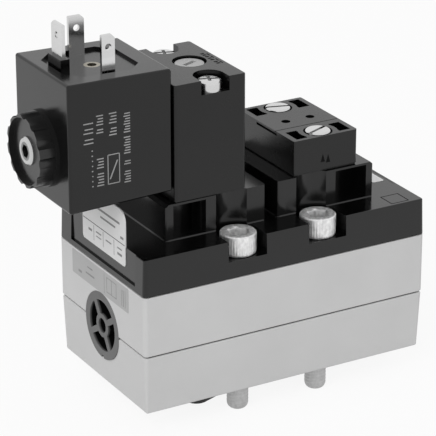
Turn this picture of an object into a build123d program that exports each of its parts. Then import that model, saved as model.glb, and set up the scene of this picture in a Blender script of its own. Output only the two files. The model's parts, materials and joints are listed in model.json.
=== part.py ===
from build123d import *
import math
import os

os.makedirs("parts", exist_ok=True)

# Directional control valve, base mounted, one solenoid pilot and one blanked pilot pad.
# Millimetres. The origin is the centre of the mounting face, Z is up.
# X runs along the spool, with the coil at its low end; the front face looks towards low Y.

# Castings
body_length = 88.0
body_width = 49.0
corner_radius = 1.2
foot_draft = 2.6
joint_height = 16.8
gasket_thickness = 0.4
casting_top = 34.1
joint_chamfer = 0.3
foot_edge_radius = 0.6
joint_top = joint_height + gasket_thickness / 2
joint_bottom = joint_height - gasket_thickness / 2
gasket_setback = 0.7

# Spool bore
bore_radius = 9.0
seat_radius = 9.7
seat_depth = 6.0
seat_wall = body_length / 2 - seat_depth
fit = 0.05

# Ports in the underside
port_pitch_base = 11.0
port_width = 5.4
port_length = 15.0
port_count = 5
port_span = port_pitch_base * (port_count - 1)

# Mounting screws
screw_x = 12.5
screw_edge = 5.5
screw_y = body_width / 2 - screw_edge
screw_radius = 3.0
shank_radius = 2.95
screw_hole_radius = 3.3
head_radius = 5.0
head_seat = 39.0
head_height = 6.0
screw_tip = -7.2
tip_radius = 1.5
hex_across = 5.0
hex_depth = 3.0

# Cover
cover_bottom = casting_top + gasket_thickness
cover_top = 44.7
cover_draft = 2.0
cover_height = cover_top - cover_bottom
slot_radius = 5.9
pad_top = 55.0
pad_inner_x = 1.9
pad_outer_x = 32.5
pad_setback = 9.0
pad_front_y = body_width / 2 - pad_setback
pad_foot = 0.3
pad_end_chamfer = 0.9
pad_screw_x = 17.5
pocket_inner_x = 20.3
pocket_outer_x = 30.2
pocket_depth = 7.0
pocket_roof = 0.6
boss_radius = 3.8
label_recess_depth = 0.4
label_recess_margin = 6.0
label_recess_height = 8.9
label_recess_y = -0.8
mark_size = 5.8
mark_line = 0.3
mark_x = body_length / 2 - 7.3
mark_y = 4.3 - body_width / 2
hollow_inner_x = 22.0
hollow_outer_x = body_length / 2 - 4.0
hollow_inner_y = 6.0
hollow_outer_y = body_width / 2 - 3.5
hollow_mid_x = (hollow_inner_x + hollow_outer_x) / 2
hollow_mid_y = (hollow_inner_y + hollow_outer_y) / 2
hollow_depth = 6.5
hollow_corner = 1.5

# Air channels
channel_width = 2.4
channel_depth = 1.8
channel_y = 3.5
feed_x = 25.0
outlet_x = 11.0
drilling_radius = 1.0
end_drilling_gap = 1.4
end_drilling_x = seat_wall - end_drilling_gap

# Coil and armature tube
tube_z = 71.5
tube_radius = 4.5
tube_bore_radius = 4.05
coil_left = -60.3
coil_right = -30.0
coil_mid_z = 75.45
coil_height_left = 35.3
coil_height_right = 33.9
coil_width_left = 30.6
coil_width_right = 29.8
coil_top = coil_mid_z + coil_height_right / 2
coil_edge_radius = 0.7
tube_clearance = 0.1
stroke = 1.0

# Pilot valve
pilot_left = -29.7
pilot_right = -8.2
pilot_front_lap = 0.2
pilot_back_gap = 0.8
pilot_front = -pad_front_y - pilot_front_lap
pilot_back = pad_front_y - pilot_back_gap
pilot_bottom = pad_top + gasket_thickness
pilot_top = 87.8
pilot_screw_edge = 3.3
pilot_screw_y = pad_front_y - pilot_screw_edge
pilot_pocket_radius = 4.25
pilot_pocket_floor = 83.9
pilot_screw_radius = 1.95
pilot_screw_hole = 2.1
pilot_head_radius = 3.4
pilot_head_height = 2.9
pilot_slot_long = 8.0
pilot_slot_short = 3.6
pilot_slot_width = 0.9
pilot_slot_depth = 1.2
pad_thread_depth = 9.0

# Blanking plate
plate_left = 7.4
plate_right = 27.5
plate_gap = 0.8
plate_half_width = pad_front_y - plate_gap
plate_bottom = pilot_bottom
plate_top = 65.1
plate_screw_edge = 4.2
plate_screw_y = plate_half_width - plate_screw_edge
plate_counterbore = 4.0
plate_counterbore_depth = 1.6
plate_pocket_x = 6.8
plate_pocket_width = 3.4
plate_pocket_length = 6.0
plate_pocket_depth = 5.0
plate_line_y = -5.0
plate_line = 0.3

bore_axis = Axis((0, 0, joint_height), (1, 0, 0))
tube_axis = Axis((0, 0, tube_z), (1, 0, 0))

screw_places = [(sx * screw_x, sy * screw_y) for sx in (-1, 1) for sy in (-1, 1)]
port_places = [(-port_span / 2 + port_pitch_base * i, 0) for i in range(port_count)]

# Outline of the moulded port seal, with a lobe round a pilot port at two opposite corners
seal_half_length = port_span / 2 + port_width / 2 + 2.4
seal_half_width = port_length / 2 + 2.4
lobe_x = 25.6
lobe_edge = 5.2
lobe_y = body_width / 2 - lobe_edge
lobe_radius = 3.2
lobe_hole = 1.6
lobe_web = 8.6
lobe_lean = math.radians(20)
seal_stand_proud = 1.5
seal_groove = 1.6


# Corners of the web between a lobe and the body of the seal, drawn in by a gap all round
def web_corners(side, gap):
    radius = lobe_radius - gap
    web_x = lobe_x - lobe_web + 2 * gap
    web_y = lobe_y + (radius - (lobe_x - web_x) * math.sin(lobe_lean)) / math.cos(lobe_lean)
    corners = [
        (lobe_x + radius, lobe_y),
        (lobe_x - radius * math.sin(lobe_lean), lobe_y + radius * math.cos(lobe_lean)),
        (web_x, web_y),
        (web_x, seal_half_width - 1.0),
        (lobe_x - 1.0, seal_half_width - 1.0),
    ]
    return [(side * x, side * y) for x, y in corners]


# Lower casting
with BuildPart() as lower_housing:
    with BuildSketch(Plane.XY.offset(joint_bottom)):
        RectangleRounded(body_length - 0.1, body_width - 0.1, corner_radius)
    extrude(amount=-joint_bottom, taper=foot_draft)
    chamfer(lower_housing.faces().sort_by(Axis.Z)[-1].edges(), joint_chamfer)
    fillet(lower_housing.faces().sort_by(Axis.Z)[0].edges(), foot_edge_radius)
    with BuildSketch(Plane.XY):
        with Locations(*port_places):
            SlotOverall(port_length, port_width, rotation=90)
    extrude(amount=joint_height, mode=Mode.SUBTRACT)
    with BuildSketch(Plane.XY):
        with Locations((-lobe_x, -lobe_y), (lobe_x, lobe_y)):
            Circle(lobe_hole)
    extrude(amount=joint_height - bore_radius, mode=Mode.SUBTRACT)
    with BuildSketch(Plane.XY):
        with Locations(*screw_places):
            Circle(screw_hole_radius)
    extrude(amount=joint_height, mode=Mode.SUBTRACT)
    with BuildSketch(Plane.XY):
        RectangleRounded(2 * seal_half_length, 2 * seal_half_width, 3.0)
        for s in (-1, 1):
            with BuildLine():
                Polyline(*web_corners(s, 0), close=True)
            make_face()
        with Locations((-lobe_x, -lobe_y), (lobe_x, lobe_y)):
            Circle(lobe_radius)
    extrude(amount=seal_groove, mode=Mode.SUBTRACT)
    with Locations((0, 0, joint_height)):
        Cylinder(bore_radius, body_length + 2, rotation=(0, 90, 0), mode=Mode.SUBTRACT)
    with Locations((seat_wall + seat_depth, 0, joint_height), (-seat_wall - seat_depth, 0, joint_height)):
        Cylinder(seat_radius, 2 * seat_depth, rotation=(0, 90, 0), mode=Mode.SUBTRACT)
lower_housing.part.label = "lower_housing"
export_step(lower_housing.part, "parts/lower_housing.step")

# Moulded seal in the underside
with BuildPart() as port_seal:
    with BuildSketch(Plane.XY.offset(-seal_stand_proud)):
        RectangleRounded(2 * (seal_half_length - fit), 2 * (seal_half_width - fit), 3.0)
        for s in (-1, 1):
            with BuildLine():
                Polyline(*web_corners(s, fit), close=True)
            make_face()
        with Locations((-lobe_x, -lobe_y), (lobe_x, lobe_y)):
            Circle(lobe_radius - fit)
        with Locations(*port_places):
            SlotOverall(port_length, port_width, rotation=90, mode=Mode.SUBTRACT)
        with Locations((-lobe_x, -lobe_y), (lobe_x, lobe_y)):
            Circle(lobe_hole, mode=Mode.SUBTRACT)
    extrude(amount=seal_stand_proud + seal_groove)
port_seal.part.label = "port_seal"
export_step(port_seal.part, "parts/port_seal.step")

# Thin gasket between the castings
with BuildPart() as housing_gasket:
    with BuildSketch(Plane.XY.offset(joint_bottom)):
        RectangleRounded(body_length - 2 * gasket_setback, body_width - 2 * gasket_setback, corner_radius)
        Rectangle(body_length, 2 * seat_radius, mode=Mode.SUBTRACT)
        with Locations(*screw_places):
            Circle(screw_hole_radius, mode=Mode.SUBTRACT)
    extrude(amount=gasket_thickness)
housing_gasket.part.label = "housing_gasket"
export_step(housing_gasket.part, "parts/housing_gasket.step")

# Upper casting
with BuildPart() as upper_housing:
    with BuildSketch(Plane.XY.offset(joint_top)):
        RectangleRounded(body_length, body_width, corner_radius)
    extrude(amount=casting_top - joint_top)
    chamfer(upper_housing.faces().sort_by(Axis.Z)[0].edges(), joint_chamfer)
    with BuildSketch(Plane.XY.offset(joint_top)):
        with Locations(*screw_places):
            Circle(screw_hole_radius)
    extrude(amount=casting_top - joint_top, mode=Mode.SUBTRACT)
    with BuildSketch(Plane.XY.offset(joint_height + bore_radius - 1.5)):
        with Locations((0, channel_y), (-end_drilling_x, -channel_y), (end_drilling_x, -channel_y)):
            Circle(drilling_radius)
    extrude(amount=casting_top - joint_height - bore_radius + 1.5, mode=Mode.SUBTRACT)
    with Locations((0, 0, joint_height)):
        Cylinder(bore_radius, body_length + 2, rotation=(0, 90, 0), mode=Mode.SUBTRACT)
    with Locations((seat_wall + seat_depth, 0, joint_height), (-seat_wall - seat_depth, 0, joint_height)):
        Cylinder(seat_radius, 2 * seat_depth, rotation=(0, 90, 0), mode=Mode.SUBTRACT)
upper_housing.part.label = "upper_housing"
export_step(upper_housing.part, "parts/upper_housing.step")

# Thin gasket under the cover
with BuildPart() as cover_gasket:
    with BuildSketch(Plane.XY.offset(casting_top)):
        RectangleRounded(body_length - 2 * gasket_setback, body_width - 2 * gasket_setback, corner_radius)
        with Locations(*screw_places):
            Circle(screw_hole_radius, mode=Mode.SUBTRACT)
        with Locations((0, channel_y), (-end_drilling_x, -channel_y), (end_drilling_x, -channel_y)):
            Circle(drilling_radius, mode=Mode.SUBTRACT)
    extrude(amount=gasket_thickness)
cover_gasket.part.label = "cover_gasket"
export_step(cover_gasket.part, "parts/cover_gasket.step")

# Black moulded cover with two mirrored pilot pads
pad_mid_x = (pad_inner_x + pad_outer_x) / 2
end_channel_x = (end_drilling_x + outlet_x) / 2
pocket_mid_x = (pocket_inner_x + pocket_outer_x) / 2
with BuildPart() as cover:
    with BuildSketch(Plane.XY.offset(cover_bottom)):
        RectangleRounded(body_length, body_width, corner_radius)
    extrude(amount=cover_height, taper=cover_draft)
    fillet(cover.faces().sort_by(Axis.Z)[-1].edges(), 0.4)
    with BuildSketch(Plane.XY.offset(cover_bottom)):
        with Locations((-pad_mid_x, 0), (pad_mid_x, 0)):
            RectangleRounded(pad_outer_x - pad_inner_x, 2 * pad_front_y, 0.6)
    extrude(amount=pad_top - cover_bottom)
    # Bevels on the outer ends of both pads
    with BuildSketch(Plane.XZ):
        for sx in (-1, 1):
            with BuildLine():
                Polyline(
                    (sx * (pad_outer_x - pad_end_chamfer), pad_top),
                    (sx * pad_outer_x, pad_top - pad_end_chamfer),
                    (sx * pad_outer_x, pad_top),
                    close=True,
                )
            make_face()
    extrude(amount=pad_front_y, both=True, mode=Mode.SUBTRACT)
    # Pockets in the front and back of both pads
    with BuildSketch(Plane.XY.offset(cover_top)):
        for sx in (-1, 1):
            for sy in (-1, 1):
                with Locations((sx * pocket_mid_x, sy * pad_front_y)):
                    Rectangle(pocket_outer_x - pocket_inner_x, 2 * pocket_depth)
                with Locations((sx * pad_screw_x, sy * plate_screw_y)):
                    Circle(boss_radius, mode=Mode.SUBTRACT)
    extrude(amount=pad_top - pocket_roof - cover_top, mode=Mode.SUBTRACT)
    # Sloping foot round both pads
    with BuildSketch(Plane.XY.offset(cover_top)):
        with Locations((-pad_mid_x, 0), (pad_mid_x, 0)):
            RectangleRounded(pad_outer_x - pad_inner_x + 2 * pad_foot, 2 * pad_front_y + 2 * pad_foot, 1.4)
    extrude(amount=pad_foot, taper=45)
    # Slots and key clearance round the screw heads
    with BuildSketch(Plane.XY.offset(head_seat)):
        for px, py in screw_places:
            with Locations((px, py)):
                Circle(slot_radius)
            with Locations((px, py * 1.25)):
                Rectangle(2 * slot_radius, abs(py) * 0.5)
    extrude(amount=pad_top - head_seat, mode=Mode.SUBTRACT)
    with BuildSketch(Plane.XY.offset(cover_bottom)):
        with Locations(*screw_places):
            Circle(screw_hole_radius)
    extrude(amount=cover_height, mode=Mode.SUBTRACT)
    # Recess for the label on the left end, open at the top
    with BuildSketch(Plane.YZ.offset(-body_length / 2)):
        with Locations((label_recess_y, cover_top - label_recess_height / 2)):
            Rectangle(body_width - 2 * label_recess_margin, label_recess_height)
    extrude(amount=label_recess_depth + 0.2, mode=Mode.SUBTRACT)
    # Square outline in the top at the right front
    with BuildSketch(Plane.XY.offset(cover_top)):
        with Locations((mark_x, mark_y)):
            Rectangle(mark_size, mark_size)
            Rectangle(mark_size - 2 * mark_line, mark_size - 2 * mark_line, mode=Mode.SUBTRACT)
    extrude(amount=-mark_line, mode=Mode.SUBTRACT)
    # Lightening pockets and air channels in the underside
    with BuildSketch(Plane.XY.offset(cover_bottom)):
        for sx in (-1, 1):
            for sy in (-1, 1):
                with Locations((sx * hollow_mid_x, sy * hollow_mid_y)):
                    RectangleRounded(
                        hollow_outer_x - hollow_inner_x,
                        hollow_outer_y - hollow_inner_y,
                        hollow_corner,
                    )
    extrude(amount=hollow_depth, mode=Mode.SUBTRACT)
    with BuildSketch(Plane.XY.offset(cover_bottom)):
        with Locations((0, channel_y)):
            Rectangle(2 * feed_x + channel_width, channel_width)
        with Locations((-feed_x, channel_y / 2), (feed_x, channel_y / 2)):
            Rectangle(channel_width, channel_y)
        with Locations((-end_channel_x, -channel_y), (end_channel_x, -channel_y)):
            Rectangle(end_drilling_x - outlet_x + channel_width, channel_width)
        with Locations((-outlet_x, -channel_y / 2), (outlet_x, -channel_y / 2)):
            Rectangle(channel_width, channel_y)
    extrude(amount=channel_depth, mode=Mode.SUBTRACT)
    with BuildSketch(Plane.XY.offset(cover_bottom)):
        with Locations((-feed_x, 0), (feed_x, 0), (-outlet_x, 0), (outlet_x, 0)):
            Circle(drilling_radius)
    extrude(amount=pad_top - cover_bottom, mode=Mode.SUBTRACT)
    # Threads for the pilot valve and the blanking plate
    with BuildSketch(Plane.XY.offset(pad_top)):
        with Locations((-pad_screw_x, pilot_screw_y), (-pad_screw_x, -pilot_screw_y)):
            Circle(pilot_screw_radius)
        with Locations((pad_screw_x, plate_screw_y), (pad_screw_x, -plate_screw_y)):
            Circle(pilot_screw_radius)
    extrude(amount=-pad_thread_depth, mode=Mode.SUBTRACT)
cover.part.label = "cover"
export_step(cover.part, "parts/cover.step")

# End caps of the spool bore: wedge pockets outside, a spring seat inside
cap_face = body_length / 2 - 0.05
cap_length = cap_face - seat_wall
cap_groove_width = 1.6
cap_groove_depth = 1.2
cap_groove_x = seat_wall + 1.0
cap_pocket_depth = 3.9
cap_pocket_outer = 7.3
cap_pocket_inner = 3.4
cap_spoke = 1.7
cap_turn = -32
spring_seat_radius = 5.0
spring_seat_depth = 1.2
for side, name in ((-1, "end_cap_left"), (1, "end_cap_right")):
    with BuildPart() as end_cap:
        with BuildSketch(Plane.XZ):
            with BuildLine():
                Polyline(
                    (side * seat_wall, joint_height),
                    (side * seat_wall, joint_height + seat_radius - fit),
                    (side * cap_groove_x, joint_height + seat_radius - fit),
                    (side * cap_groove_x, joint_height + seat_radius - cap_groove_depth),
                    (side * (cap_groove_x + cap_groove_width), joint_height + seat_radius - cap_groove_depth),
                    (side * (cap_groove_x + cap_groove_width), joint_height + seat_radius - fit),
                    (side * cap_face, joint_height + seat_radius - fit),
                    (side * cap_face, joint_height),
                    close=True,
                )
            make_face()
        revolve(axis=bore_axis)
        with BuildSketch(Plane.YZ.offset(side * cap_face)):
            with Locations((0, joint_height)):
                Circle(cap_pocket_outer)
                Circle(cap_pocket_inner, mode=Mode.SUBTRACT)
                Rectangle(cap_spoke, 20, rotation=cap_turn, mode=Mode.SUBTRACT)
                Rectangle(20, cap_spoke, rotation=cap_turn, mode=Mode.SUBTRACT)
                Circle(2.1)
            with Locations((0, joint_height - seat_radius)):
                Rectangle(1.2, 1.6)
        extrude(amount=-side * cap_pocket_depth, mode=Mode.SUBTRACT)
        if side > 0:
            with BuildSketch(Plane.YZ.offset(seat_wall)):
                with Locations((0, joint_height)):
                    Circle(spring_seat_radius)
            extrude(amount=spring_seat_depth, mode=Mode.SUBTRACT)
    end_cap.part.label = name
    export_step(end_cap.part, "parts/" + name + ".step")

with BuildPart() as end_cap_seals:
    for side in (-1, 1):
        with BuildSketch(Plane.YZ.offset(side * (cap_groove_x + fit))):
            with Locations((0, joint_height)):
                Circle(seat_radius)
                Circle(seat_radius - cap_groove_depth, mode=Mode.SUBTRACT)
        extrude(amount=side * (cap_groove_width - 2 * fit))
end_cap_seals.part.label = "end_cap_seals"
export_step(end_cap_seals.part, "parts/end_cap_seals.step")

# Socket head cap screws through the cover and both castings
with BuildPart() as mounting_screws:
    with BuildSketch(Plane.XY.offset(head_seat)):
        with Locations(*screw_places):
            Circle(head_radius)
    extrude(amount=head_height)
    chamfer(mounting_screws.faces().filter_by(GeomType.PLANE).sort_by(Axis.Z)[-4:].edges(), 0.35)
    with BuildSketch(Plane.XY):
        with Locations(*screw_places):
            Circle(shank_radius)
    extrude(amount=head_seat)
    with BuildSketch(Plane.XY.offset(screw_tip)):
        with Locations(*screw_places):
            Circle(screw_radius)
    extrude(amount=-screw_tip)
    fillet(mounting_screws.faces().filter_by(GeomType.PLANE).sort_by(Axis.Z)[:4].edges(), tip_radius)
    with BuildSketch(Plane.XY.offset(head_seat + head_height)):
        with Locations(*screw_places):
            RegularPolygon(hex_across / math.sqrt(3), 6)
    extrude(amount=-hex_depth, mode=Mode.SUBTRACT)
mounting_screws.part.label = "mounting_screws"
export_step(mounting_screws.part, "parts/mounting_screws.step")

# Spool sleeve with five rings of holes, one for each port
piston_space = 11.5
sleeve_half = seat_wall - piston_space
sleeve_end = 8.5
valve_pitch = (sleeve_half - sleeve_end) / 2
valve_ports = [valve_pitch * i for i in range(-2, 3)]
sleeve_bore = 6.2
sleeve_groove_depth = 1.2
port_groove_width = 4.4
port_hole_radius = 1.1
ring_groove_width = 1.6
ring_edge = 2.0
ring_steps = [valve_pitch / 2, valve_pitch * 3 / 2, sleeve_half - ring_edge]
ring_places = [-x for x in reversed(ring_steps)] + ring_steps
with BuildPart() as spool_sleeve:
    with BuildSketch(Plane.YZ.offset(-sleeve_half)):
        with Locations((0, joint_height)):
            Circle(bore_radius - fit)
            Circle(sleeve_bore, mode=Mode.SUBTRACT)
    extrude(amount=2 * sleeve_half)
    for x in valve_ports:
        with BuildSketch(Plane.YZ.offset(x - port_groove_width / 2)):
            with Locations((0, joint_height)):
                Circle(bore_radius + 1)
                Circle(bore_radius - sleeve_groove_depth, mode=Mode.SUBTRACT)
        extrude(amount=port_groove_width, mode=Mode.SUBTRACT)
        with Locations((x, 0, joint_height)):
            Cylinder(port_hole_radius, 2 * bore_radius + 2, mode=Mode.SUBTRACT)
            Cylinder(port_hole_radius, 2 * bore_radius + 2, rotation=(90, 0, 0), mode=Mode.SUBTRACT)
    for x in ring_places:
        with BuildSketch(Plane.YZ.offset(x - ring_groove_width / 2)):
            with Locations((0, joint_height)):
                Circle(bore_radius + 1)
                Circle(bore_radius - sleeve_groove_depth, mode=Mode.SUBTRACT)
        extrude(amount=ring_groove_width, mode=Mode.SUBTRACT)
spool_sleeve.part.label = "spool_sleeve"
export_step(spool_sleeve.part, "parts/spool_sleeve.step")

with BuildPart() as sleeve_seals:
    for x in ring_places:
        with BuildSketch(Plane.YZ.offset(x - ring_groove_width / 2 + fit)):
            with Locations((0, joint_height)):
                Circle(bore_radius)
                Circle(bore_radius - sleeve_groove_depth, mode=Mode.SUBTRACT)
        extrude(amount=ring_groove_width - 2 * fit)
sleeve_seals.part.label = "sleeve_seals"
export_step(sleeve_seals.part, "parts/sleeve_seals.step")

# Spool at rest: supply joined to the port on its left, the next port open to its own exhaust
travel = 4.0
end_land_gap = 2.4
land_places = [
    -2 * valve_pitch - end_land_gap - travel,
    -valve_pitch - travel / 2,
    valve_pitch - travel / 2,
    2 * valve_pitch + end_land_gap,
]
land_half = 1.7
land_radius = sleeve_bore - 0.1
seal_half = 0.8
seal_radius = sleeve_bore - 0.03
seal_floor = 4.9
neck_radius = 3.4
piston_gap = 1.8
piston_left = piston_gap - seat_wall
piston_length = 3.8
piston_right = piston_left + piston_length
stem_radius = 3.0
spool_end_radius = 4.6
spool_overhang = 1.9
spool_right = sleeve_half + spool_overhang
spigot_radius = 2.5
spigot_length = 2.2
with BuildPart() as spool:
    with BuildSketch(Plane.YZ.offset(land_places[0] - land_half)):
        with Locations((0, joint_height)):
            Circle(neck_radius)
    extrude(amount=land_places[-1] - land_places[0] + 2 * land_half)
    for x in land_places:
        with BuildSketch(Plane.YZ.offset(x - land_half)):
            with Locations((0, joint_height)):
                Circle(land_radius)
        extrude(amount=2 * land_half)
    with BuildSketch(Plane.YZ.offset(piston_left)):
        with Locations((0, joint_height)):
            Circle(stem_radius)
    extrude(amount=land_places[0] - land_half - piston_left)
    with BuildSketch(Plane.YZ.offset(land_places[-1])):
        with Locations((0, joint_height)):
            Circle(spool_end_radius)
    extrude(amount=spool_right - land_places[-1])
    with BuildSketch(Plane.YZ.offset(spool_right)):
        with Locations((0, joint_height)):
            Circle(spigot_radius)
    extrude(amount=spigot_length)
    for x in land_places:
        with BuildSketch(Plane.YZ.offset(x - seal_half)):
            with Locations((0, joint_height)):
                Circle(land_radius + 1)
                Circle(seal_floor, mode=Mode.SUBTRACT)
        extrude(amount=2 * seal_half, mode=Mode.SUBTRACT)
spool.part.label = "spool"
export_step(spool.part, "parts/spool.step")

with BuildPart() as spool_seals:
    for x in land_places:
        with BuildSketch(Plane.YZ.offset(x - seal_half + fit)):
            with Locations((0, joint_height)):
                Circle(seal_radius)
                Circle(seal_floor, mode=Mode.SUBTRACT)
        extrude(amount=2 * seal_half - 2 * fit)
spool_seals.part.label = "spool_seals"
export_step(spool_seals.part, "parts/spool_seals.step")

# Pilot piston on the left end of the spool
piston_radius = bore_radius - 0.15
piston_groove = 7.4
piston_rim = 1.0
piston_hub = 4.2
piston_stop = 0.1
with BuildPart() as pilot_piston:
    with BuildSketch(Plane.XZ):
        with BuildLine():
            Polyline(
                (-seat_wall + piston_stop, joint_height),
                (-seat_wall + piston_stop, joint_height + piston_hub),
                (piston_left, joint_height + piston_hub),
                (piston_left, joint_height + piston_radius),
                (piston_left + piston_rim, joint_height + piston_radius),
                (piston_left + piston_rim, joint_height + piston_groove),
                (piston_right - piston_rim, joint_height + piston_groove),
                (piston_right - piston_rim, joint_height + piston_radius),
                (piston_right, joint_height + piston_radius),
                (piston_right, joint_height + stem_radius),
                (piston_left, joint_height + stem_radius),
                (piston_left, joint_height),
                close=True,
            )
        make_face()
    revolve(axis=bore_axis)
pilot_piston.part.label = "pilot_piston"
export_step(pilot_piston.part, "parts/pilot_piston.step")

with BuildPart() as piston_seal:
    with BuildSketch(Plane.YZ.offset(piston_left + piston_rim + fit)):
        with Locations((0, joint_height)):
            Circle(bore_radius - 0.03)
            Circle(piston_groove, mode=Mode.SUBTRACT)
    extrude(amount=piston_length - 2 * piston_rim - 2 * fit)
piston_seal.part.label = "piston_seal"
export_step(piston_seal.part, "parts/piston_seal.step")

# Return spring between the spool and the right end cap
spring_wire = 0.45
spring_mean = 3.6
spring_start = spool_right + spring_wire
spring_end = seat_wall + spring_seat_depth - spring_wire
with BuildPart() as return_spring:
    with BuildLine() as spring_line:
        Helix(
            pitch=(spring_end - spring_start) / 4,
            height=spring_end - spring_start,
            radius=spring_mean,
            center=(spring_start, 0, joint_height),
            direction=(1, 0, 0),
        )
    with BuildSketch(Plane(origin=spring_line.line @ 0, z_dir=spring_line.line % 0)):
        Circle(spring_wire)
    sweep(path=spring_line.line, is_frenet=True)
return_spring.part.label = "return_spring"
export_step(return_spring.part, "parts/return_spring.step")

# Gaskets under the pilot valve and the blanking plate
with BuildPart() as pilot_gasket:
    with BuildSketch(Plane.XY.offset(pad_top)):
        with Locations(((pilot_left + pilot_right) / 2, (pilot_front + pilot_back) / 2)):
            Rectangle(pilot_right - pilot_left - 1.2, pilot_back - pilot_front - 1.2)
        with Locations((-pad_screw_x, pilot_screw_y), (-pad_screw_x, -pilot_screw_y)):
            Circle(pilot_screw_hole, mode=Mode.SUBTRACT)
        with Locations((-feed_x, 0), (-outlet_x, 0)):
            Circle(drilling_radius, mode=Mode.SUBTRACT)
    extrude(amount=gasket_thickness)
pilot_gasket.part.label = "pilot_gasket"
export_step(pilot_gasket.part, "parts/pilot_gasket.step")

with BuildPart() as blanking_gasket:
    with BuildSketch(Plane.XY.offset(pad_top)):
        with Locations(((plate_left + plate_right) / 2, 0)):
            Rectangle(plate_right - plate_left - 0.6, 2 * plate_half_width - 0.6)
        with Locations((pad_screw_x, plate_screw_y), (pad_screw_x, -plate_screw_y)):
            Circle(pilot_screw_hole, mode=Mode.SUBTRACT)
    extrude(amount=gasket_thickness)
blanking_gasket.part.label = "blanking_gasket"
export_step(blanking_gasket.part, "parts/blanking_gasket.step")

# Blanking plate on the right pad
with BuildPart() as blanking_plate:
    with BuildSketch(Plane.XY.offset(plate_bottom)):
        with Locations(((plate_left + plate_right) / 2, 0)):
            RectangleRounded(plate_right - plate_left, 2 * plate_half_width, 0.5)
    extrude(amount=plate_top - plate_bottom)
    # Pockets beside the screws, curved round the counterbores
    with BuildSketch(Plane.XY.offset(plate_top)):
        for sx in (-1, 1):
            for sy in (-1, 1):
                with Locations((pad_screw_x + sx * plate_pocket_x, sy * plate_screw_y)):
                    Rectangle(plate_pocket_width, plate_pocket_length)
        with Locations((pad_screw_x, plate_screw_y), (pad_screw_x, -plate_screw_y)):
            Circle(plate_counterbore + 1.5, mode=Mode.SUBTRACT)
    extrude(amount=-plate_pocket_depth, mode=Mode.SUBTRACT)
    with BuildSketch(Plane.XY.offset(plate_top)):
        with Locations((pad_screw_x, plate_screw_y), (pad_screw_x, -plate_screw_y)):
            Circle(plate_counterbore)
    extrude(amount=-plate_counterbore_depth, mode=Mode.SUBTRACT)
    with BuildSketch(Plane.XY.offset(plate_top)):
        with Locations((pad_screw_x, plate_screw_y), (pad_screw_x, -plate_screw_y)):
            Circle(pilot_screw_hole)
    extrude(amount=plate_bottom - plate_top, mode=Mode.SUBTRACT)
    with BuildSketch(Plane.XY.offset(plate_top)):
        with Locations((pad_screw_x - 3.8, 0), (pad_screw_x + 4.0, 0)):
            Circle(1.25)
    extrude(amount=-4.0, mode=Mode.SUBTRACT)
    # Fine line across the top
    with BuildSketch(Plane.XY.offset(plate_top)):
        with Locations(((plate_left + plate_right) / 2, plate_line_y)):
            Rectangle(plate_right - plate_left, plate_line)
    extrude(amount=-plate_line, mode=Mode.SUBTRACT)
    # Slot in the left side, just under the top
    with BuildSketch(Plane.YZ.offset(plate_left)):
        with Locations((-0.3, plate_top - 0.9)):
            Rectangle(10.7, 0.7)
    extrude(amount=1.0, mode=Mode.SUBTRACT)
blanking_plate.part.label = "blanking_plate"
export_step(blanking_plate.part, "parts/blanking_plate.step")

# Slotted cheese head screws of the blanking plate
plate_screw_head = 3.5
plate_screw_head_height = 2.0
plate_slot_width = 0.9
plate_slot_depth = 1.0
plate_screw_floor = plate_top - plate_counterbore_depth
with BuildPart() as blanking_screws:
    with BuildSketch(Plane.XY.offset(plate_screw_floor)):
        with Locations((pad_screw_x, plate_screw_y), (pad_screw_x, -plate_screw_y)):
            Circle(plate_screw_head)
    extrude(amount=plate_screw_head_height)
    fillet(blanking_screws.faces().filter_by(GeomType.PLANE).sort_by(Axis.Z)[-2:].edges(), 0.5)
    with BuildSketch(Plane.XY.offset(pad_top - pad_thread_depth + 1.0)):
        with Locations((pad_screw_x, plate_screw_y), (pad_screw_x, -plate_screw_y)):
            Circle(pilot_screw_radius)
    extrude(amount=plate_screw_floor - pad_top + pad_thread_depth - 1.0)
    with BuildSketch(Plane.XY.offset(plate_screw_floor + plate_screw_head_height)):
        for sy, turn in ((-1, 23), (1, -17)):
            with Locations((pad_screw_x, sy * plate_screw_y)):
                Rectangle(2 * plate_screw_head + 1, plate_slot_width, rotation=turn)
    extrude(amount=-plate_slot_depth, mode=Mode.SUBTRACT)
blanking_screws.part.label = "blanking_screws"
export_step(blanking_screws.part, "parts/blanking_screws.step")

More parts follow.
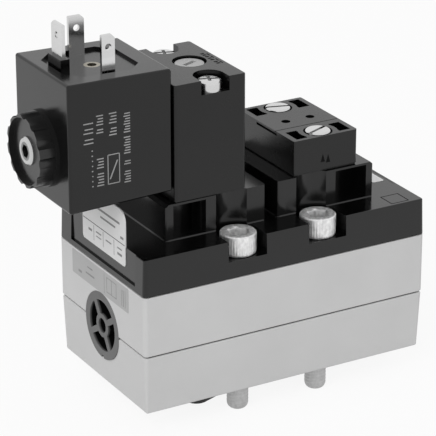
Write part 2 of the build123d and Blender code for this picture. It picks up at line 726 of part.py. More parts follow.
# Pilot valve body
chamber_radius = 6.0
chamber_depth = 3.4
gallery_z = 67.0
bypass_z = 77.5
nozzle_radius = 1.6
nozzle_tip = pilot_left + 0.5
override_x = -16.5
override_head_radius = 3.95
override_seat_radius = 4.65
override_head_height = 2.4
override_sink = 0.6
override_slot_length = 4.4
override_slot_width = 1.3
override_slot_turn = 22
gallery_y = 3.2
gallery_radius = 0.7
override_stem_radius = 2.6
override_bottom = 74.0
with BuildPart() as pilot_body:
    with BuildSketch(Plane.XY.offset(pilot_bottom)):
        with Locations(((pilot_left + pilot_right) / 2, (pilot_front + pilot_back) / 2)):
            RectangleRounded(pilot_right - pilot_left, pilot_back - pilot_front, 0.8)
    extrude(amount=pilot_top - pilot_bottom)
    fillet(pilot_body.faces().sort_by(Axis.Z)[-1].edges(), 0.3)
    # Half-round pockets for the screws, open to the front and the back
    with BuildSketch(Plane.XY.offset(pilot_top)):
        for sy in (-1, 1):
            with Locations((-pad_screw_x, sy * pilot_screw_y)):
                Circle(pilot_pocket_radius)
            with Locations((-pad_screw_x, sy * (pilot_screw_y + 3.0))):
                Rectangle(2 * pilot_pocket_radius, 6.0)
    extrude(amount=pilot_pocket_floor - pilot_top, mode=Mode.SUBTRACT)
    with BuildSketch(Plane.XY.offset(pilot_top)):
        with Locations((-pad_screw_x, pilot_screw_y), (-pad_screw_x, -pilot_screw_y)):
            Circle(pilot_screw_hole)
    extrude(amount=pilot_bottom - pilot_top, mode=Mode.SUBTRACT)
    # Bore of the manual override
    with BuildSketch(Plane.XY.offset(pilot_top)):
        with Locations((override_x, 0)):
            Circle(override_seat_radius)
    extrude(amount=-override_head_height, mode=Mode.SUBTRACT)
    with BuildSketch(Plane.XY.offset(pilot_top)):
        with Locations((override_x, 0)):
            Circle(override_stem_radius + fit)
    extrude(amount=override_bottom - pilot_top, mode=Mode.SUBTRACT)
    # Armature chamber, nozzle and galleries
    with BuildSketch(Plane.YZ.offset(pilot_left)):
        with Locations((0, tube_z)):
            Circle(chamber_radius)
    extrude(amount=chamber_depth, mode=Mode.SUBTRACT)
    with BuildSketch(Plane.YZ.offset(nozzle_tip)):
        with Locations((0, tube_z)):
            Circle(nozzle_radius)
    extrude(amount=pilot_left + chamber_depth - nozzle_tip)
    with BuildSketch(Plane.XY.offset(pilot_bottom)):
        with Locations((-feed_x, 0), (-outlet_x, 0)):
            Circle(drilling_radius)
    extrude(amount=bypass_z - pilot_bottom, mode=Mode.SUBTRACT)
    with BuildSketch(Plane.YZ.offset(-feed_x)):
        with Locations((0, bypass_z)):
            Circle(gallery_radius)
    extrude(amount=feed_x - outlet_x, mode=Mode.SUBTRACT)
    with BuildSketch(Plane.YZ.offset(nozzle_tip)):
        with Locations((0, tube_z)):
            Circle(0.6)
    extrude(amount=-nozzle_tip - feed_x, mode=Mode.SUBTRACT)
    with BuildSketch(Plane.YZ.offset(pilot_left + chamber_depth)):
        with Locations((gallery_y, gallery_z + 1.0)):
            Circle(gallery_radius)
    extrude(amount=-outlet_x - pilot_left - chamber_depth, mode=Mode.SUBTRACT)
    with BuildSketch(Plane.XZ.offset(-gallery_y)):
        with Locations((-outlet_x, gallery_z + 1.0)):
            Circle(gallery_radius)
    extrude(amount=gallery_y, mode=Mode.SUBTRACT)
pilot_body.part.label = "pilot_body"
export_step(pilot_body.part, "parts/pilot_body.step")

with BuildPart() as pilot_screws:
    with BuildSketch(Plane.XY.offset(pilot_pocket_floor)):
        with Locations((-pad_screw_x, pilot_screw_y), (-pad_screw_x, -pilot_screw_y)):
            Circle(pilot_head_radius)
    extrude(amount=pilot_head_height)
    fillet(pilot_screws.faces().filter_by(GeomType.PLANE).sort_by(Axis.Z)[-2:].edges(), 1.0)
    with BuildSketch(Plane.XY.offset(pad_top - pad_thread_depth + 1.0)):
        with Locations((-pad_screw_x, pilot_screw_y), (-pad_screw_x, -pilot_screw_y)):
            Circle(pilot_screw_radius)
    extrude(amount=pilot_pocket_floor - pad_top + pad_thread_depth - 1.0)
    with BuildSketch(Plane.XY.offset(pilot_pocket_floor + pilot_head_height)):
        with Locations((-pad_screw_x, pilot_screw_y), (-pad_screw_x, -pilot_screw_y)):
            Rectangle(pilot_slot_long, pilot_slot_width, rotation=-20)
            Rectangle(pilot_slot_short, pilot_slot_width, rotation=70)
    extrude(amount=-pilot_slot_depth, mode=Mode.SUBTRACT)
pilot_screws.part.label = "pilot_screws"
export_step(pilot_screws.part, "parts/pilot_screws.step")

# Manual override: a slotted plug whose cross hole lines up with the bypass when it is turned
override_groove_z = 81.0
with BuildPart() as manual_override:
    with BuildSketch(Plane.XY.offset(pilot_top - override_head_height + 0.05)):
        with Locations((override_x, 0)):
            Circle(override_head_radius)
    extrude(amount=override_head_height - 0.05 - override_sink)
    with BuildSketch(Plane.XY.offset(override_bottom + 0.1)):
        with Locations((override_x, 0)):
            Circle(override_stem_radius)
    extrude(amount=pilot_top - override_sink - 1.0 - override_bottom)
    with BuildSketch(Plane.XY.offset(override_groove_z)):
        with Locations((override_x, 0)):
            Circle(override_stem_radius + 1)
            Circle(override_stem_radius - 0.9, mode=Mode.SUBTRACT)
    extrude(amount=1.2, mode=Mode.SUBTRACT)
    with Locations((override_x, 0, bypass_z)):
        Cylinder(gallery_radius, 2 * override_stem_radius + 2, rotation=(90, 0, 0), mode=Mode.SUBTRACT)
    with BuildSketch(Plane.XY.offset(pilot_top - override_sink)):
        with Locations((override_x, 0)):
            Rectangle(override_slot_length, override_slot_width, rotation=override_slot_turn)
    extrude(amount=-1.5, mode=Mode.SUBTRACT)
manual_override.part.label = "manual_override"
export_step(manual_override.part, "parts/manual_override.step")

with BuildPart() as override_seal:
    with BuildSketch(Plane.XY.offset(override_groove_z + 0.1)):
        with Locations((override_x, 0)):
            Circle(override_stem_radius + 0.02)
            Circle(override_stem_radius - 0.9, mode=Mode.SUBTRACT)
    extrude(amount=1.0)
override_seal.part.label = "override_seal"
export_step(override_seal.part, "parts/override_seal.step")

# Armature tube with its flange, clamped between the coil and the pilot valve
tube_right = pilot_left + 1.6
flange_radius = 5.9
tube_left = -58.0
with BuildPart() as armature_tube:
    with BuildSketch(Plane.XZ):
        with BuildLine():
            Polyline(
                (tube_left, tube_z + tube_bore_radius),
                (tube_left, tube_z + tube_radius),
                (pilot_left, tube_z + tube_radius),
                (pilot_left, tube_z + flange_radius),
                (tube_right, tube_z + flange_radius),
                (tube_right, tube_z + tube_bore_radius),
                close=True,
            )
        make_face()
    revolve(axis=tube_axis)
armature_tube.part.label = "armature_tube"
export_step(armature_tube.part, "parts/armature_tube.step")

with BuildPart() as tube_seal:
    with BuildSketch(Plane.YZ.offset(tube_right)):
        with Locations((0, tube_z)):
            Circle(flange_radius)
            Circle(flange_radius - 1.1, mode=Mode.SUBTRACT)
    extrude(amount=1.0)
tube_seal.part.label = "tube_seal"
export_step(tube_seal.part, "parts/tube_seal.step")

# Fixed core, with the bright end that shows in the middle of the nut
core_end = -65.3
core_face = -46.0
core_stem_radius = 3.85
core_collar = -57.9
spring_pocket_radius = 2.0
with BuildPart() as fixed_core:
    with BuildSketch(Plane.YZ.offset(tube_left)):
        with Locations((0, tube_z)):
            Circle(tube_bore_radius)
    extrude(amount=core_face - tube_left)
    with BuildSketch(Plane.YZ.offset(core_end)):
        with Locations((0, tube_z)):
            Circle(core_stem_radius)
    extrude(amount=tube_left - core_end)
    chamfer(fixed_core.faces().filter_by(Axis.X).sort_by(Axis.X)[0].edges(), 0.4)
    with BuildSketch(Plane.YZ.offset(core_end)):
        with Locations((0, tube_z)):
            RegularPolygon(1.9, 6)
    extrude(amount=2.6, mode=Mode.SUBTRACT)
    with BuildSketch(Plane.YZ.offset(core_face)):
        with Locations((0, tube_z)):
            Circle(spring_pocket_radius)
    extrude(amount=-3.0, mode=Mode.SUBTRACT)
fixed_core.part.label = "fixed_core"
export_step(fixed_core.part, "parts/fixed_core.step")

# Armature at rest on the nozzle
armature_left = core_face + stroke + 0.1
armature_right = nozzle_tip - 0.05
armature_radius = tube_bore_radius - 0.08
seal_disc_radius = 2.2
seal_disc_length = 1.8
with BuildPart() as armature:
    with BuildSketch(Plane.YZ.offset(armature_left)):
        with Locations((0, tube_z)):
            Circle(armature_radius)
    extrude(amount=armature_right - armature_left)
    with BuildSketch(Plane.YZ.offset(armature_right)):
        with Locations((0, tube_z)):
            Circle(seal_disc_radius)
    extrude(amount=-seal_disc_length, mode=Mode.SUBTRACT)
    with BuildSketch(Plane.YZ.offset(armature_left)):
        with Locations((0, tube_z)):
            Circle(spring_pocket_radius)
    extrude(amount=2.5, mode=Mode.SUBTRACT)
    for sy in (-1, 1):
        with Locations(((armature_left + armature_right) / 2, sy * armature_radius, tube_z)):
            Box(armature_right - armature_left + 1, 0.8, 0.9, mode=Mode.SUBTRACT)
armature.part.label = "armature"
export_step(armature.part, "parts/armature.step")

with BuildPart() as armature_seal:
    with BuildSketch(Plane.YZ.offset(armature_right)):
        with Locations((0, tube_z)):
            Circle(seal_disc_radius)
    extrude(amount=-seal_disc_length)
armature_seal.part.label = "armature_seal"
export_step(armature_seal.part, "parts/armature_seal.step")

light_wire = 0.25
light_mean = 1.5
light_start = core_face - 3.0 + light_wire
light_end = armature_left + 2.5 - light_wire
with BuildPart() as armature_spring:
    with BuildLine() as light_line:
        Helix(
            pitch=(light_end - light_start) / 4,
            height=light_end - light_start,
            radius=light_mean,
            center=(light_start, 0, tube_z),
            direction=(1, 0, 0),
        )
    with BuildSketch(Plane(origin=light_line.line @ 0, z_dir=light_line.line % 0)):
        Circle(light_wire)
    sweep(path=light_line.line, is_frenet=True)
armature_spring.part.label = "armature_spring"
export_step(armature_spring.part, "parts/armature_spring.step")

# Magnet frame: two end plates joined by a strap under the winding
frame_left = -56.5
frame_right = -33.5
frame_plate = 2.5
frame_bottom = 59.6
frame_top = 82.0
frame_half = 11.0
frame_strap = 1.8
with BuildPart() as magnet_frame:
    with BuildSketch(Plane.XZ):
        with BuildLine():
            Polyline(
                (frame_left, frame_bottom),
                (frame_right, frame_bottom),
                (frame_right, frame_top),
                (frame_right - frame_plate, frame_top),
                (frame_right - frame_plate, frame_bottom + frame_strap),
                (frame_left + frame_plate, frame_bottom + frame_strap),
                (frame_left + frame_plate, frame_top),
                (frame_left, frame_top),
                close=True,
            )
        make_face()
    extrude(amount=frame_half, both=True)
    with BuildSketch(Plane.YZ.offset(frame_left)):
        with Locations((0, tube_z)):
            Circle(tube_radius + tube_clearance)
    extrude(amount=frame_right - frame_left, mode=Mode.SUBTRACT)
magnet_frame.part.label = "magnet_frame"
export_step(magnet_frame.part, "parts/magnet_frame.step")

bobbin_left = frame_left + frame_plate
bobbin_right = frame_right - frame_plate
bobbin_flange = 9.8
bobbin_core = 5.6
flange_wall = 1.2
with BuildPart() as coil_bobbin:
    with BuildSketch(Plane.XZ):
        with BuildLine():
            Polyline(
                (bobbin_left, tube_z + tube_radius + tube_clearance),
                (bobbin_left, tube_z + bobbin_flange),
                (bobbin_left + flange_wall, tube_z + bobbin_flange),
                (bobbin_left + flange_wall, tube_z + bobbin_core),
                (bobbin_right - flange_wall, tube_z + bobbin_core),
                (bobbin_right - flange_wall, tube_z + bobbin_flange),
                (bobbin_right, tube_z + bobbin_flange),
                (bobbin_right, tube_z + tube_radius + tube_clearance),
                close=True,
            )
        make_face()
    revolve(axis=tube_axis)
coil_bobbin.part.label = "coil_bobbin"
export_step(coil_bobbin.part, "parts/coil_bobbin.step")

winding_radius = 9.4
with BuildPart() as coil_winding:
    with BuildSketch(Plane.YZ.offset(bobbin_left + flange_wall)):
        with Locations((0, tube_z)):
            Circle(winding_radius)
            Circle(bobbin_core, mode=Mode.SUBTRACT)
    extrude(amount=bobbin_right - bobbin_left - 2 * flange_wall)
coil_winding.part.label = "coil_winding"
export_step(coil_winding.part, "parts/coil_winding.step")

# Moulded coil body, with its plug face on top
recess_depth = 0.6
recess_left = -57.0
recess_right = -35.3
recess_half = 10.5
recess_corner = 4.0
recess_floor = coil_top - recess_depth
blade_x = -45.5
blade_y = 9.0
near_blade_width = 3.8
far_blade_width = 4.5
blade_thick = 1.0
blade_corner = 1.1
blade_bevel = 0.3
blade_hole = 0.9
blade_hole_drop = 3.4
blade_top = 102.8
blade_foot = 84.0
earth_x = -55.0
earth_width = 5.9
earth_top = 105.0
earth_root_top = coil_top + 3.4
insert_radius = 2.2
insert_depth = 6.0
insert_bore = 1.25
with BuildPart() as coil_housing:
    with BuildSketch(Plane.YZ.offset(coil_left)):
        with Locations((0, coil_mid_z)):
            Rectangle(coil_width_left, coil_height_left)
    with BuildSketch(Plane.YZ.offset(coil_right)):
        with Locations((0, coil_mid_z)):
            Rectangle(coil_width_right, coil_height_right)
    loft()
    fillet(coil_housing.edges(), coil_edge_radius)
    with BuildSketch(Plane.XY.offset(recess_floor)):
        with Locations(((recess_left + recess_right) / 2, 0)):
            rect = Rectangle(recess_right - recess_left, 2 * recess_half)
        chamfer(rect.vertices(), recess_corner)
    extrude(amount=4.0, mode=Mode.SUBTRACT)
    # Root that stands round the earth contact
    with BuildSketch(Plane.XY.offset(recess_floor)):
        with Locations((earth_x, 0)):
            Rectangle(2.6, earth_width + 1.4)
    extrude(amount=earth_root_top - recess_floor)
    with BuildSketch(Plane.YZ.offset(coil_left)):
        with Locations((0, tube_z)):
            Circle(tube_radius + tube_clearance)
    extrude(amount=coil_right - coil_left, mode=Mode.SUBTRACT)
    # Space that the winding and the magnet frame fill
    with BuildSketch(Plane.XZ):
        with BuildLine():
            Polyline(
                (frame_left, frame_bottom),
                (frame_right, frame_bottom),
                (frame_right, frame_top),
                (frame_right - frame_plate, frame_top),
                (frame_right - frame_plate, frame_bottom + frame_strap),
                (frame_left + frame_plate, frame_bottom + frame_strap),
                (frame_left + frame_plate, frame_top),
                (frame_left, frame_top),
                close=True,
            )
        make_face()
    extrude(amount=frame_half, both=True, mode=Mode.SUBTRACT)
    with BuildSketch(Plane.YZ.offset(bobbin_left)):
        with Locations((0, tube_z)):
            Circle(bobbin_flange)
    extrude(amount=bobbin_right - bobbin_left, mode=Mode.SUBTRACT)
    # Seats of the contacts and of the threaded insert
    with BuildSketch(Plane.XY.offset(blade_foot)):
        with Locations((blade_x, blade_y)):
            Rectangle(far_blade_width, blade_thick)
        with Locations((blade_x, -blade_y)):
            Rectangle(near_blade_width, blade_thick)
        with Locations((earth_x, 0)):
            Rectangle(blade_thick, earth_width)
    extrude(amount=earth_root_top - blade_foot, mode=Mode.SUBTRACT)
    with BuildSketch(Plane.XY.offset(recess_floor)):
        with Locations((blade_x, 0)):
            Circle(insert_radius)
    extrude(amount=-insert_depth, mode=Mode.SUBTRACT)
coil_housing.part.label = "coil_housing"
export_step(coil_housing.part, "parts/coil_housing.step")

# Plug contacts
with BuildPart() as power_blades:
    for sy in (-1, 1):
        with BuildSketch(Plane.XZ.offset(-sy * blade_y - blade_thick / 2)):
            with Locations((blade_x, (blade_top + blade_foot) / 2)):
                tip = Rectangle(near_blade_width if sy < 0 else far_blade_width, blade_top - blade_foot)
            chamfer(tip.vertices().sort_by(Axis.Z)[-2:], blade_corner)
            with Locations((blade_x, blade_top - blade_hole_drop)):
                Circle(blade_hole, mode=Mode.SUBTRACT)
        extrude(amount=blade_thick)
    chamfer(power_blades.faces().sort_by(Axis.Z)[-2:].edges().filter_by(Axis.X), blade_bevel)
power_blades.part.label = "power_blades"
export_step(power_blades.part, "parts/power_blades.step")

with BuildPart() as earth_blade:
    with BuildSketch(Plane.YZ.offset(earth_x - blade_thick / 2)):
        with Locations((0, (earth_top + blade_foot) / 2)):
            tip = Rectangle(earth_width, earth_top - blade_foot)
        chamfer(tip.vertices().sort_by(Axis.Z)[-2:], blade_corner)
        with Locations((0, earth_top - blade_hole_drop)):
            Circle(blade_hole, mode=Mode.SUBTRACT)
    extrude(amount=blade_thick)
    chamfer(earth_blade.faces().sort_by(Axis.Z)[-1].edges().filter_by(Axis.Y), blade_bevel)
earth_blade.part.label = "earth_blade"
export_step(earth_blade.part, "parts/earth_blade.step")

with BuildPart() as plug_insert:
    with BuildSketch(Plane.XY.offset(recess_floor)):
        with Locations((blade_x, 0)):
            Circle(insert_radius)
            Circle(insert_bore, mode=Mode.SUBTRACT)
    extrude(amount=-insert_depth)
plug_insert.part.label = "plug_insert"
export_step(plug_insert.part, "parts/plug_insert.step")

# Seals at both faces of the coil
coil_seal_radius = 7.6
with BuildPart() as coil_face_seal:
    with BuildSketch(Plane.YZ.offset(coil_right)):
        with Locations((0, tube_z)):
            Circle(coil_seal_radius)
            Circle(tube_radius + fit, mode=Mode.SUBTRACT)
    extrude(amount=pilot_left - coil_right)
coil_face_seal.part.label = "coil_face_seal"
export_step(coil_face_seal.part, "parts/coil_face_seal.step")

# Fluted nut that clamps the coil
nut_left = -65.8
nut_radius = 9.8
nut_flange = 1.2
nut_flange_radius = 10.3
nut_lobes = 12
nut_flute = 1.8
nut_flute_depth = 0.7
nut_phase = 2.3
nut_recess_radius = 9.0
nut_recess = 1.4
nut_bore = core_stem_radius + fit
seal_seat_radius = 6.6
seal_seat_depth = 1.4
with BuildPart() as retaining_nut:
    with BuildSketch(Plane.YZ.offset(coil_left)):
        with Locations((0, tube_z)):
            Circle(nut_flange_radius)
    extrude(amount=-nut_flange)
    with BuildSketch(Plane.YZ.offset(coil_left - nut_flange)):
        with Locations((0, tube_z)):
            Circle(nut_radius)
            with PolarLocations(nut_radius - nut_flute_depth + nut_flute, nut_lobes, start_angle=nut_phase):
                Circle(nut_flute, mode=Mode.SUBTRACT)
    extrude(amount=nut_left - coil_left + nut_flange)
    with BuildSketch(Plane.YZ.offset(nut_left)):
        with Locations((0, tube_z)):
            Circle(nut_recess_radius)
    extrude(amount=nut_recess, mode=Mode.SUBTRACT)
    with BuildSketch(Plane.YZ.offset(nut_left)):
        with Locations((0, tube_z)):
            Circle(nut_bore)
    extrude(amount=coil_left - nut_left, mode=Mode.SUBTRACT)
    with BuildSketch(Plane.YZ.offset(coil_left)):
        with Locations((0, tube_z)):
            Circle(seal_seat_radius)
    extrude(amount=-seal_seat_depth, mode=Mode.SUBTRACT)
retaining_nut.part.label = "retaining_nut"
export_step(retaining_nut.part, "parts/retaining_nut.step")

with BuildPart() as nut_seal:
    with BuildSketch(Plane.YZ.offset(coil_left)):
        with Locations((0, tube_z)):
            Circle(seal_seat_radius)
            Circle(nut_bore, mode=Mode.SUBTRACT)
    extrude(amount=-seal_seat_depth)
nut_seal.part.label = "nut_seal"
export_step(nut_seal.part, "parts/nut_seal.step")
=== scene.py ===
import bpy
import bmesh
import json
import math
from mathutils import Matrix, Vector


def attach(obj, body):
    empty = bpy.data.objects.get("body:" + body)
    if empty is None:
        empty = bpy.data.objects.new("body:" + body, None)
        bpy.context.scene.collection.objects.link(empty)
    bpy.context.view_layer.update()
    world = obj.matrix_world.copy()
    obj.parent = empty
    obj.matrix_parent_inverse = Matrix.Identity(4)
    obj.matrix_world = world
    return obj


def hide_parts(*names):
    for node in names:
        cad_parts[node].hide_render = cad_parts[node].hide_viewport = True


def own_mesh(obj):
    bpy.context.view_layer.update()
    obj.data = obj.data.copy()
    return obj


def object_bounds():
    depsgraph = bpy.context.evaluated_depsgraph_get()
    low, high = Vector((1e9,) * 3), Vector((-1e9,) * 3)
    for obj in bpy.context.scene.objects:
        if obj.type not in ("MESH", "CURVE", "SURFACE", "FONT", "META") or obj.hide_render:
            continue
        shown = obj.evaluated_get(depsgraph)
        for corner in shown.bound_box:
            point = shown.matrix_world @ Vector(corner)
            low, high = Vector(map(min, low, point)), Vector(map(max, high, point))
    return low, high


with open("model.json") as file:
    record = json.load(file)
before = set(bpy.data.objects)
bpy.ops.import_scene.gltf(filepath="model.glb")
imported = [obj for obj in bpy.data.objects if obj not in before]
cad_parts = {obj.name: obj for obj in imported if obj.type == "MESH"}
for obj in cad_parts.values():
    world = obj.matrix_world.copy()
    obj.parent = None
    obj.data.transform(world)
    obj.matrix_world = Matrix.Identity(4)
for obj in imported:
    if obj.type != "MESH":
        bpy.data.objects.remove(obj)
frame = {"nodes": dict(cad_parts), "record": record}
cad_box = [list(v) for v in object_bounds()]
bpy.context.scene.view_settings.view_transform = "Standard"
MM = 0.001

# Camera at the photograph's angle, fitted to the corners of the castings, the cover and the coil
CAMERA_LENS = 209.06
CAMERA_SENSOR = 36.0
CAMERA_REACH = 20.0
CAMERA_AZIMUTH = math.radians(-29.88)
CAMERA_ELEVATION = math.radians(22.59)
CAMERA_PLACE = (-326.9, -555.5, 307.4)

cam_data = bpy.data.cameras.new("camera")
cam = bpy.data.objects.new("camera", cam_data)
bpy.context.scene.collection.objects.link(cam)
cam_data.lens = CAMERA_LENS
cam_data.sensor_width = CAMERA_SENSOR
cam_data.clip_end = CAMERA_REACH
back = Vector((math.sin(CAMERA_AZIMUTH) * math.cos(CAMERA_ELEVATION),
               -math.cos(CAMERA_AZIMUTH) * math.cos(CAMERA_ELEVATION),
               math.sin(CAMERA_ELEVATION)))
cam.location = Vector(CAMERA_PLACE) * MM
cam.rotation_euler = (-back).to_track_quat("-Z", "Y").to_euler()
bpy.context.scene.camera = cam


# A new material with its nodes, its links and its shader
def new_material(name):
    mat = bpy.data.materials.new(name)
    mat.use_nodes = True
    nodes, links = mat.node_tree.nodes, mat.node_tree.links
    return mat, nodes, links, nodes["Principled BSDF"]


def object_coords(nodes, links, scale):
    coord = nodes.new("ShaderNodeTexCoord")
    mapping = nodes.new("ShaderNodeMapping")
    mapping.inputs["Scale"].default_value = scale
    links.new(coord.outputs["Object"], mapping.inputs["Vector"])
    return mapping.outputs["Vector"]


def noise(nodes, links, vector, scale):
    tex = nodes.new("ShaderNodeTexNoise")
    tex.inputs["Scale"].default_value = scale
    tex.inputs["Detail"].default_value = 3.0
    tex.inputs["Roughness"].default_value = 0.5
    links.new(vector, tex.inputs["Vector"])
    return tex.outputs["Fac"]


# Blends between two values, grey levels or colours, over the middle of a noise
def blend(nodes, links, fac, ends):
    node = nodes.new("ShaderNodeValToRGB")
    for element, place, value in zip(node.color_ramp.elements, (0.3, 0.7), ends):
        element.position = place
        element.color = (*value, 1) if isinstance(value, tuple) else (value, value, value, 1)
    links.new(fac, node.inputs["Fac"])
    return node.outputs["Color"]


def bump(nodes, links, bsdf, height, strength, distance):
    node = nodes.new("ShaderNodeBump")
    node.inputs["Strength"].default_value = strength
    node.inputs["Distance"].default_value = distance
    links.new(height, node.inputs["Height"])
    links.new(node.outputs["Normal"], bsdf.inputs["Normal"])


# One surface: colour and roughness vary slowly between two ends, and a fine grain lifts it
def plain(name, colour, rough, metallic=0.0, grain=900.0, strength=0.2, depth=0.00003,
          stretch=(1, 1, 1), ior=1.5, patch=60.0):
    mat, nodes, links, bsdf = new_material(name)
    vector = object_coords(nodes, links, stretch)
    slow = noise(nodes, links, vector, patch)
    links.new(blend(nodes, links, slow, colour), bsdf.inputs["Base Color"])
    links.new(blend(nodes, links, slow, rough), bsdf.inputs["Roughness"])
    bsdf.inputs["Metallic"].default_value = metallic
    bsdf.inputs["IOR"].default_value = ior
    if strength:
        bump(nodes, links, bsdf, noise(nodes, links, vector, grain), strength, depth)
    return mat


def dull(mat, level):
    mat.node_tree.nodes["Principled BSDF"].inputs["Specular IOR Level"].default_value = level


def vector_math(mat, operation, source, constant=None):
    node = mat.node_tree.nodes.new("ShaderNodeVectorMath")
    node.operation = operation
    mat.node_tree.links.new(source, node.inputs[0])
    if constant is not None:
        node.inputs[1].default_value = constant
    return node


# Multiplies a material's colour by a factor that goes from one value to another with a distance
def scale_colour(mat, distance, start, end, factor_start, factor_end):
    nodes, links = mat.node_tree.nodes, mat.node_tree.links
    colour = nodes["Principled BSDF"].inputs["Base Color"]
    span = nodes.new("ShaderNodeMapRange")
    span.inputs["From Min"].default_value = start
    span.inputs["From Max"].default_value = end
    span.inputs["To Min"].default_value = factor_start
    span.inputs["To Max"].default_value = factor_end
    links.new(distance, span.inputs["Value"])
    scaled = vector_math(mat, "SCALE", colour.links[0].from_socket)
    links.new(span.outputs["Result"], scaled.inputs["Scale"])
    links.new(scaled.outputs["Vector"], colour)


# Painted shade: darkens a material smoothly along one axis, from one distance off the part's middle
# to another
def darken(mat, axis, start, end, factor):
    nodes, links = mat.node_tree.nodes, mat.node_tree.links
    coord = nodes.new("ShaderNodeTexCoord")
    split = nodes.new("ShaderNodeSeparateXYZ")
    links.new(coord.outputs["Object"], split.inputs["Vector"])
    size = nodes.new("ShaderNodeMath")
    size.operation = "ABSOLUTE"
    links.new(split.outputs[axis], size.inputs[0])
    scale_colour(mat, size.outputs[0], start, end, 1.0, factor)


# Painted shade: darkens round sockets within a radius of a middle line and its mirror lines, all in
# millimetres
def darken_sockets(mat, middle, plane, radius, factor):
    edge = 0.1
    coord = mat.node_tree.nodes.new("ShaderNodeTexCoord")
    side = vector_math(mat, "ABSOLUTE", coord.outputs["Object"])
    flat = vector_math(mat, "MULTIPLY", side.outputs["Vector"], plane)
    away = vector_math(mat, "DISTANCE", flat.outputs["Vector"], [v * MM for v in middle])
    near, far = (radius - edge) * MM, (radius + edge) * MM
    scale_colour(mat, away.outputs["Value"], near, far, factor, 1.0)


# Materials of the part's own nodes, by material slot
FINE = 0.00002
wire_steel = plain("spring_steel", (0.45, 0.52), (0.28, 0.34), metallic=1.0)
by_slot = {
    "casting": plain("die_cast", (0.575, 0.605), (0.50, 0.58), grain=1500.0, strength=0.25,
                     depth=0.00004),
    "cover_plastic": plain("cover_black", (0.0015, 0.0030), (0.14, 0.20), grain=700.0,
                           strength=0.04, depth=FINE, ior=1.48),
    "pilot_plastic": plain("pilot_black", (0.0010, 0.0020), (0.24, 0.30), strength=0.06,
                           depth=FINE, ior=1.44),
    "coil_plastic": plain("coil_black", (0.0010, 0.0020), (0.18, 0.24), grain=800.0,
                          strength=0.05, depth=FINE, ior=1.44),
    "nut_plastic": plain("nut_black", (0.005, 0.008), (0.20, 0.27), strength=0.08, depth=FINE),
    "cap_plastic": plain("cap_grey", (0.150, 0.180), (0.50, 0.58), strength=0.10),
    "override_plastic": plain("override_grey", (0.42, 0.46), (0.40, 0.48), strength=0.10),
    "bobbin_plastic": plain("bobbin_cream", ((0.70, 0.66, 0.55), (0.75, 0.71, 0.60)), (0.45, 0.5)),
    "plated_steel": plain("plated_steel", (0.60, 0.68), (0.22, 0.30), metallic=1.0, grain=1200.0,
                          strength=0.08, depth=FINE),
    "core_steel": plain("core_steel", (0.52, 0.60), (0.24, 0.32), metallic=1.0, grain=1600.0,
                        strength=0.10, depth=FINE, stretch=(8, 1, 1)),
    "frame_steel": plain("frame_steel", (0.48, 0.55), (0.30, 0.38), metallic=1.0),
    "spring_steel": wire_steel,
    "tinned_contact": plain("tinned_contact", (0.60, 0.68), (0.10, 0.17), metallic=1.0,
                            strength=0.06, depth=FINE, stretch=(1, 1, 6)),
    "turned_aluminium": plain("turned_aluminium", (0.58, 0.64), (0.28, 0.34), metallic=1.0,
                              grain=1600.0, strength=0.08, depth=FINE, stretch=(8, 1, 1)),
    "brass_insert": plain("brass_insert", ((0.34, 0.32, 0.27), (0.42, 0.39, 0.33)), (0.38, 0.48),
                          metallic=1.0),
    "copper_wire": plain("copper_wire", ((0.45, 0.16, 0.06), (0.55, 0.20, 0.08)), (0.3, 0.36),
                         metallic=1.0),
    "rubber_black": plain("rubber_black", (0.012, 0.017), (0.65, 0.75)),
    "gasket": plain("gasket_sheet", (0.016, 0.022), (0.7, 0.8)),
}

# Painted shade: the end caps are darkened inside their pockets, and the fixed core inside its
# socket
CAP_FACE_X, CAP_POCKET_X = 0.0439, 0.0432
CORE_SOCKET_RADIUS = 2.5
TUBE_Z = 71.5
dull(by_slot["cap_plastic"], 0.08)
darken(by_slot["cap_plastic"], "X", CAP_FACE_X, CAP_POCKET_X, 0.02)
darken_sockets(by_slot["core_steel"], (0.0, 0.0, TUBE_Z), (0, 1, 1), CORE_SOCKET_RADIUS, 0.40)

for part in frame["record"]["subparts"]:
    obj = frame["nodes"][part["node"]]
    obj.data.materials.clear()
    obj.data.materials.append(by_slot[part["material_slot"]])


# Helpers for the pieces that the scene adds, in millimetres of the part's own frame
def piece(name, mesh_maker, material, body="valve", smooth=0.0):
    mesh = bpy.data.meshes.new(name)
    bm = bmesh.new()
    mesh_maker(bm)
    bmesh.ops.scale(bm, vec=(MM, MM, MM), verts=bm.verts)
    bmesh.ops.recalc_face_normals(bm, faces=bm.faces)
    bm.to_mesh(mesh)
    bm.free()
    obj = bpy.data.objects.new(name, mesh)
    bpy.context.scene.collection.objects.link(obj)
    mesh.materials.append(material)
    if smooth:
        for poly in mesh.polygons:
            poly.use_smooth = True
        mod = obj.modifiers.new("edges", "EDGE_SPLIT")
        mod.split_angle = math.radians(smooth)
    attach(obj, body)
    return obj


def prism(bm, outline, place, low, high):
    bottom = [bm.verts.new(place(u, v, low)) for u, v in outline]
    top = [bm.verts.new(place(u, v, high)) for u, v in outline]
    bm.faces.new(bottom)
    bm.faces.new(top)
    count = len(outline)
    for i in range(count):
        j = (i + 1) % count
        bm.faces.new((bottom[i], bottom[j], top[j], top[i]))


# One prism for each outline, from one height over the face to another
def prisms(place, outlines, low, high):
    def make(bm):
        for outline in outlines:
            prism(bm, outline, place, low, high)
    return make


def rounded(u0, v0, u1, v1, r, steps=5):
    corners = ((u1 - r, v0 + r, -90), (u1 - r, v1 - r, 0),
               (u0 + r, v1 - r, 90), (u0 + r, v0 + r, 180))
    points = []
    for cu, cv, start in corners:
        for i in range(steps + 1):
            a = math.radians(start + 90 * i / steps)
            points.append((cu + r * math.cos(a), cv + r * math.sin(a)))
    return points


def rect(u0, v0, u1, v1):
    return [(u0, v0), (u1, v0), (u1, v1), (u0, v1)]


